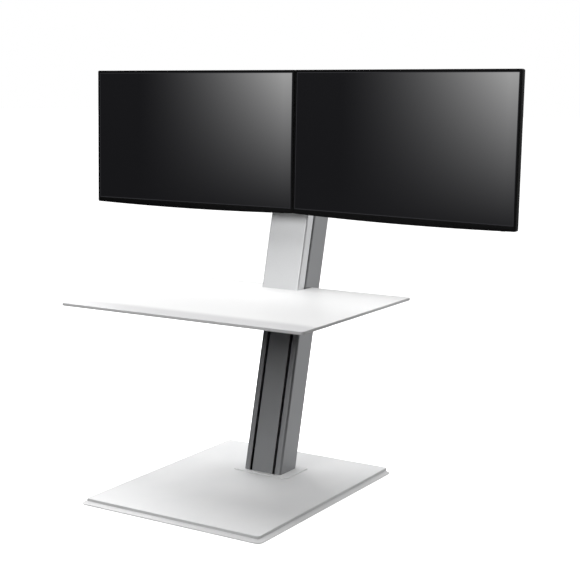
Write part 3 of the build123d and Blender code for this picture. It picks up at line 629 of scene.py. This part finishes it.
BAND_ROWS = (3, 6)  # from the lip's lower corner to the start of its upper round
board = surface("work_surface", board_loops(), caps=True)
settle(board, "lift", "platform_board", laminate)
board.data.materials.append(edge_band)
columns = len(board_loops()[0])
row = np.arange(len(board.data.polygons)) // columns
banded = (row >= BAND_ROWS[0]) & (row < BAND_ROWS[1])
board.data.polygons.foreach_set("material_index", banded.astype(np.int32))
print(int(banded.sum()), "faces banded")

# %% [markdown]
# ## Base
#
# The base is two layers: a steel plate whose upper edge slopes out to a thin lip, and a moulded
# cover with a soft edge. The cover and the collar round the column's foot have a hole that leans
# with the column, so their loops go up the outside, across the top, and down the hole's wall, and
# then close underneath, like a square ring.

# %% Base
BASE_CORNER = 16 * MM
COVER_CORNER = 6 * MM
COLLAR_CORNER = 12 * MM
HOLE_CORNER = 7 * MM
COLUMN_WIDTH = 112.5 * MM
COLUMN_DEPTH = 76.5 * MM
COLUMN_Y = 89.8 * MM
plate_low, plate_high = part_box("base_plate")
cover_low, cover_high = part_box("base_cover")
collar_low, collar_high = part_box("foot_collar")


def level_loop(corners, corner, inset, height):
    """One level loop of a rectangle with equal round corners."""
    plan = outline(corners, [corner] * 4, inset, 0.5 * MM)
    return np.column_stack([plan, np.full(len(plan), height)])


def column_hole(gap, height):
    """The column's leaning section cut level at a height: y moves back by height * tan(lean)."""
    front = COLUMN_Y + height * math.tan(LEAN)
    back = front + COLUMN_DEPTH / math.cos(LEAN)
    half = COLUMN_WIDTH / 2 + gap
    corners = rectangle((-half, front - gap), (half, back + gap))
    return level_loop(corners, HOLE_CORNER, 0.0, height)


def plate_loops():
    """Loops of the ballast plate: rounded lower edge, thin lip, long slope, flat top."""
    corners = rectangle(plate_low, plate_high)
    steps = [(3.0, 0.0), (1.0, 0.0), (0.3, 0.3), (0.0, 1.0), (0.0, 1.6), (0.3, 2.0), (1.2, 2.45)]
    steps += [(9.4, 6.1), (10.2, 6.4), (12.0, 6.5), (16.0, 6.5)]
    return np.array(
        [level_loop(corners, BASE_CORNER, a * MM, plate_low.z + b * MM) for a, b in steps]
    )


# A ring's lowest edge is broken a little: (inset, height above its underside).
RING_FOOT = [(0.3 * MM, 0.0), (0.0, 0.4 * MM)]


def ring_loops(low, high, corner, edge, gap):
    """Loops of a flat ring: outside wall, quarter round, top, leaning hole, and underside."""
    corners = rectangle(low, high)
    loops = [level_loop(corners, corner, inset, low.z + up) for inset, up in RING_FOOT]
    for inwards, down in QUARTER:
        loops.append(level_loop(corners, corner, inwards * edge, high.z - down * edge))
    loops.append(level_loop(corners, corner, 2.2 * edge, high.z))
    loops.append(column_hole(gap, high.z))
    loops.append(column_hole(gap, low.z))
    return np.array(loops)


ballast = surface("ballast_plate", plate_loops(), caps=True)
settle(ballast, "base", "base_plate", powder_coat)
cover = surface(
    "base_top_cover",
    ring_loops(cover_low, cover_high, COVER_CORNER, 1.2 * MM, 1.0 * MM),
    wrap_rows=True,
)
settle(cover, "base", "base_cover", moulded_white)
collar = surface(
    "column_foot_collar",
    ring_loops(collar_low, collar_high, COLLAR_CORNER, 2.0 * MM, 0.4 * MM),
    wrap_rows=True,
)
settle(collar, "base", "foot_collar", moulded_white)

# %% [markdown]
# ## Spring strips
#
# Each constant-force spring is a thin steel strip that unrolls from its drum. The drums go down
# with the lift, but the strips' upper ends stay on the anchor near the column's top, so a strip
# can't ride on one body. It is drawn in 24 short lengths, and is tied to no body.

# %% Spring strips
STRIP_OFFSET = 20 * MM
STRIP_HALF = 14.5 * MM
STRIP_DEPTHS = (63.8 * MM, 64.4 * MM)
STRIP_ENDS = (680 * MM, 772 * MM)


def in_column(x, depth, along):
    """Point in the column's frame: y = front + d cos L + a sin L and z = a cos L - d sin L."""
    y = COLUMN_Y + depth * math.cos(LEAN) + along * math.sin(LEAN)
    z = along * math.cos(LEAN) - depth * math.sin(LEAN)
    return np.stack(np.broadcast_arrays(x, y, z), axis=-1)


for side, middle in (("left", -STRIP_OFFSET), ("right", STRIP_OFFSET)):
    low_corner = (middle - STRIP_HALF, STRIP_DEPTHS[0])
    section = np.array(rectangle(low_corner, (middle + STRIP_HALF, STRIP_DEPTHS[1])))
    along = np.linspace(*STRIP_ENDS, 25)[:, None]
    places = in_column(section[:, 0], section[:, 1], along)
    strip = surface(f"spring_strip_{side}", places, caps=True)
    strip.data.materials.append(spring_steel)
    bottom, top = in_column(middle, STRIP_DEPTHS[0], np.array(STRIP_ENDS))
    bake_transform(strip)
    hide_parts("spring_strips")
    print(strip.name, "is blended over", round(float(np.linalg.norm(top - bottom)), 3), "m")

# %% [markdown]
# ## Screens
#
# Each screen hangs on its own tilt axis, so its parts are drawn flat in that screen's frame and
# then put in place by one matrix: across the panel, up it, and back through it. The matrix comes
# from the tilt joint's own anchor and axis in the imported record, so it can't drift from the CAD.

# %% Screen frames
SCREEN_LEAN = math.radians(1.79)
SCREEN_TO_TILT = 51 * MM
joints = {joint["name"]: joint for joint in frame["joints"]}


def in_screen(side, points):
    """Puts points drawn in a screen's own frame in place: (across, depth behind the front, up).

    The tilt joint's axis is the across direction a, and b is level and square to it. With the lean
    L, depth runs along b cos L - z sin L, and up runs along b sin L + z cos L.
    """
    joint = joints[f"head_tilt_{side}"]
    a = np.array(joint["axis"], float)
    b = np.array([-a[1], a[0], 0.0])
    z = np.array([0.0, 0.0, 1.0])
    deep = b * math.cos(SCREEN_LEAN) - z * math.sin(SCREEN_LEAN)
    up = b * math.sin(SCREEN_LEAN) + z * math.cos(SCREEN_LEAN)
    across, depth, height = np.moveaxis(points, -1, 0)
    depth = depth - SCREEN_TO_TILT
    return (
        np.array(joint["pos_m"])
        + across[..., None] * a
        + depth[..., None] * deep
        + height[..., None] * up
    )


def screen_loop(low, high, corner, inset, depth, bow):
    """A loop round the screen at one depth, whose bottom edge bows down by bow (1 - x * x / w * w).

    Corner arcs come from outline(); 24 more points along the bottom edge carry the bow.
    """
    arcs = outline(rectangle(low, high), [corner] * 4, inset, 0.3 * MM).reshape(4, -1, 2)
    run = np.linspace(arcs[0, -1], arcs[1, 0], 26)[1:-1]
    plan = np.concatenate([arcs[0], run, *arcs[1:]])
    falls = np.where(plan[:, 1] < 0, bow * (1 - (plan[:, 0] / high[0]) ** 2), 0.0)
    return np.column_stack([plan[:, 0], np.full(len(plan), depth), plan[:, 1] - falls])


for side in ("left", "right"):
    print(side, "screen hangs at", joints[f"head_tilt_{side}"]["pos_m"])

# %% [markdown]
# ## Bezels and panels
#
# The bezel is one moulded ring, 6 mm wide at the sides and the top with a deeper chin below, whose
# bottom edge bows down by 5 mm. Its loops go round the outside, over a small front round, across
# the face, and down a bevel into the window. The panel is a thin slab with a fine edge round, and
# gets a UV map that runs from 0 to 1 across and up, for its painted reflection.

# %% Bezels and panels
SCREEN_LOW = (-323 * MM, -181.5 * MM)
SCREEN_HIGH = (323 * MM, 181.5 * MM)
WINDOW_LOW = (-317 * MM, -169.5 * MM)
WINDOW_HIGH = (317 * MM, 175.5 * MM)
SCREEN_CORNER = 3.5 * MM
SCREEN_BOW = 5 * MM
BEZEL_DEEP = 9 * MM
BEZEL_ROUND = 0.9 * MM
PANEL_SET = 0.8 * MM
PANEL_THICK = 3 * MM


def bezel_loops():
    """Loops of the bezel: back edge, outer wall, front round, face, bevel, and window wall."""
    outer = [(0.3 * MM, BEZEL_DEEP), (0.0, BEZEL_DEEP - 0.3 * MM)]
    outer += [(a * BEZEL_ROUND, b * BEZEL_ROUND) for a, b in QUARTER]
    outside = (SCREEN_LOW, SCREEN_HIGH, SCREEN_CORNER)
    loops = [screen_loop(*outside, a, d, SCREEN_BOW) for a, d in outer]
    inner = [(-0.7 * MM, 0.0), (-0.5 * MM, 0.05 * MM), (0.0, PANEL_SET), (0.0, BEZEL_DEEP)]
    loops += [screen_loop(WINDOW_LOW, WINDOW_HIGH, 0.5 * MM, a, d, 0.0) for a, d in inner]
    return np.array(loops)


def panel_loops():
    """Loops of the panel: back, side wall, a fine round, and the face just inside it."""
    steps = [(0.3, 3.0), (0.1, 2.8), (0.1, 0.2), (0.17, 0.05), (0.3, 0.0)]
    return np.array(
        [
            screen_loop(WINDOW_LOW, WINDOW_HIGH, 0.5 * MM, a * MM, PANEL_SET + d * MM, 0.0)
            for a, d in steps
        ]
    )


def reflection_uv_map(piece, flat):
    """UV map of the panel: u and v are how far a point is across and up the window."""
    points = flat.reshape(-1, 3)
    low, high = np.array(WINDOW_LOW), np.array(WINDOW_HIGH)
    uv = (points[:, [0, 2]] - low) / (high - low)
    corner = np.empty(len(piece.data.loops), np.int32)
    piece.data.loops.foreach_get("vertex_index", corner)
    layer = piece.data.uv_layers.new(name="picture")
    layer.data.foreach_set("uv", uv[corner].astype(np.float32).ravel())


for side in ("left", "right"):
    ring = surface(f"bezel_ring_{side}", in_screen(side, bezel_loops()), wrap_rows=True)
    settle(ring, f"screen_{side}", f"screen_bezel_{side}", bezel_black)
    panel = surface(f"display_panel_{side}", in_screen(side, panel_loops()), caps=True)
    reflection_uv_map(panel, panel_loops())
    settle(panel, f"screen_{side}", f"screen_panel_{side}", display)

# %% [markdown]
# ## Dressing the CAD nodes
#
# Every remaining CAD node keeps its exact shape and takes the finish that its record names. The
# record's material slots say which nodes share a finish, so a table from slot to material covers
# them all.

# %% Dress the nodes
FINISH = {
    "coated_white": powder_coat,
    "white_plastic": moulded_white,
    "board_white": laminate,
    "anodised_grey": anodised_grey,
    "anodised_silver": anodised_silver,
    "cast_silver": cast_silver,
    "steel_black": electrocoat,
    "zinc_steel": zinc,
    "spring_steel": spring_steel,
    "rubber_black": rubber,
    "acetal_black": acetal,
    "bezel_black": bezel_black,
    "shell_black": shell_black,
    "panel_black": display,
}
for row in frame["record"]["subparts"]:
    node = nodes[row["node"]]
    node.data.materials.clear()
    node.data.materials.append(FINISH[row["material_slot"]])
nodes["crossbar"].data.materials[0] = anodised_bar
print(len(nodes), "nodes dressed")
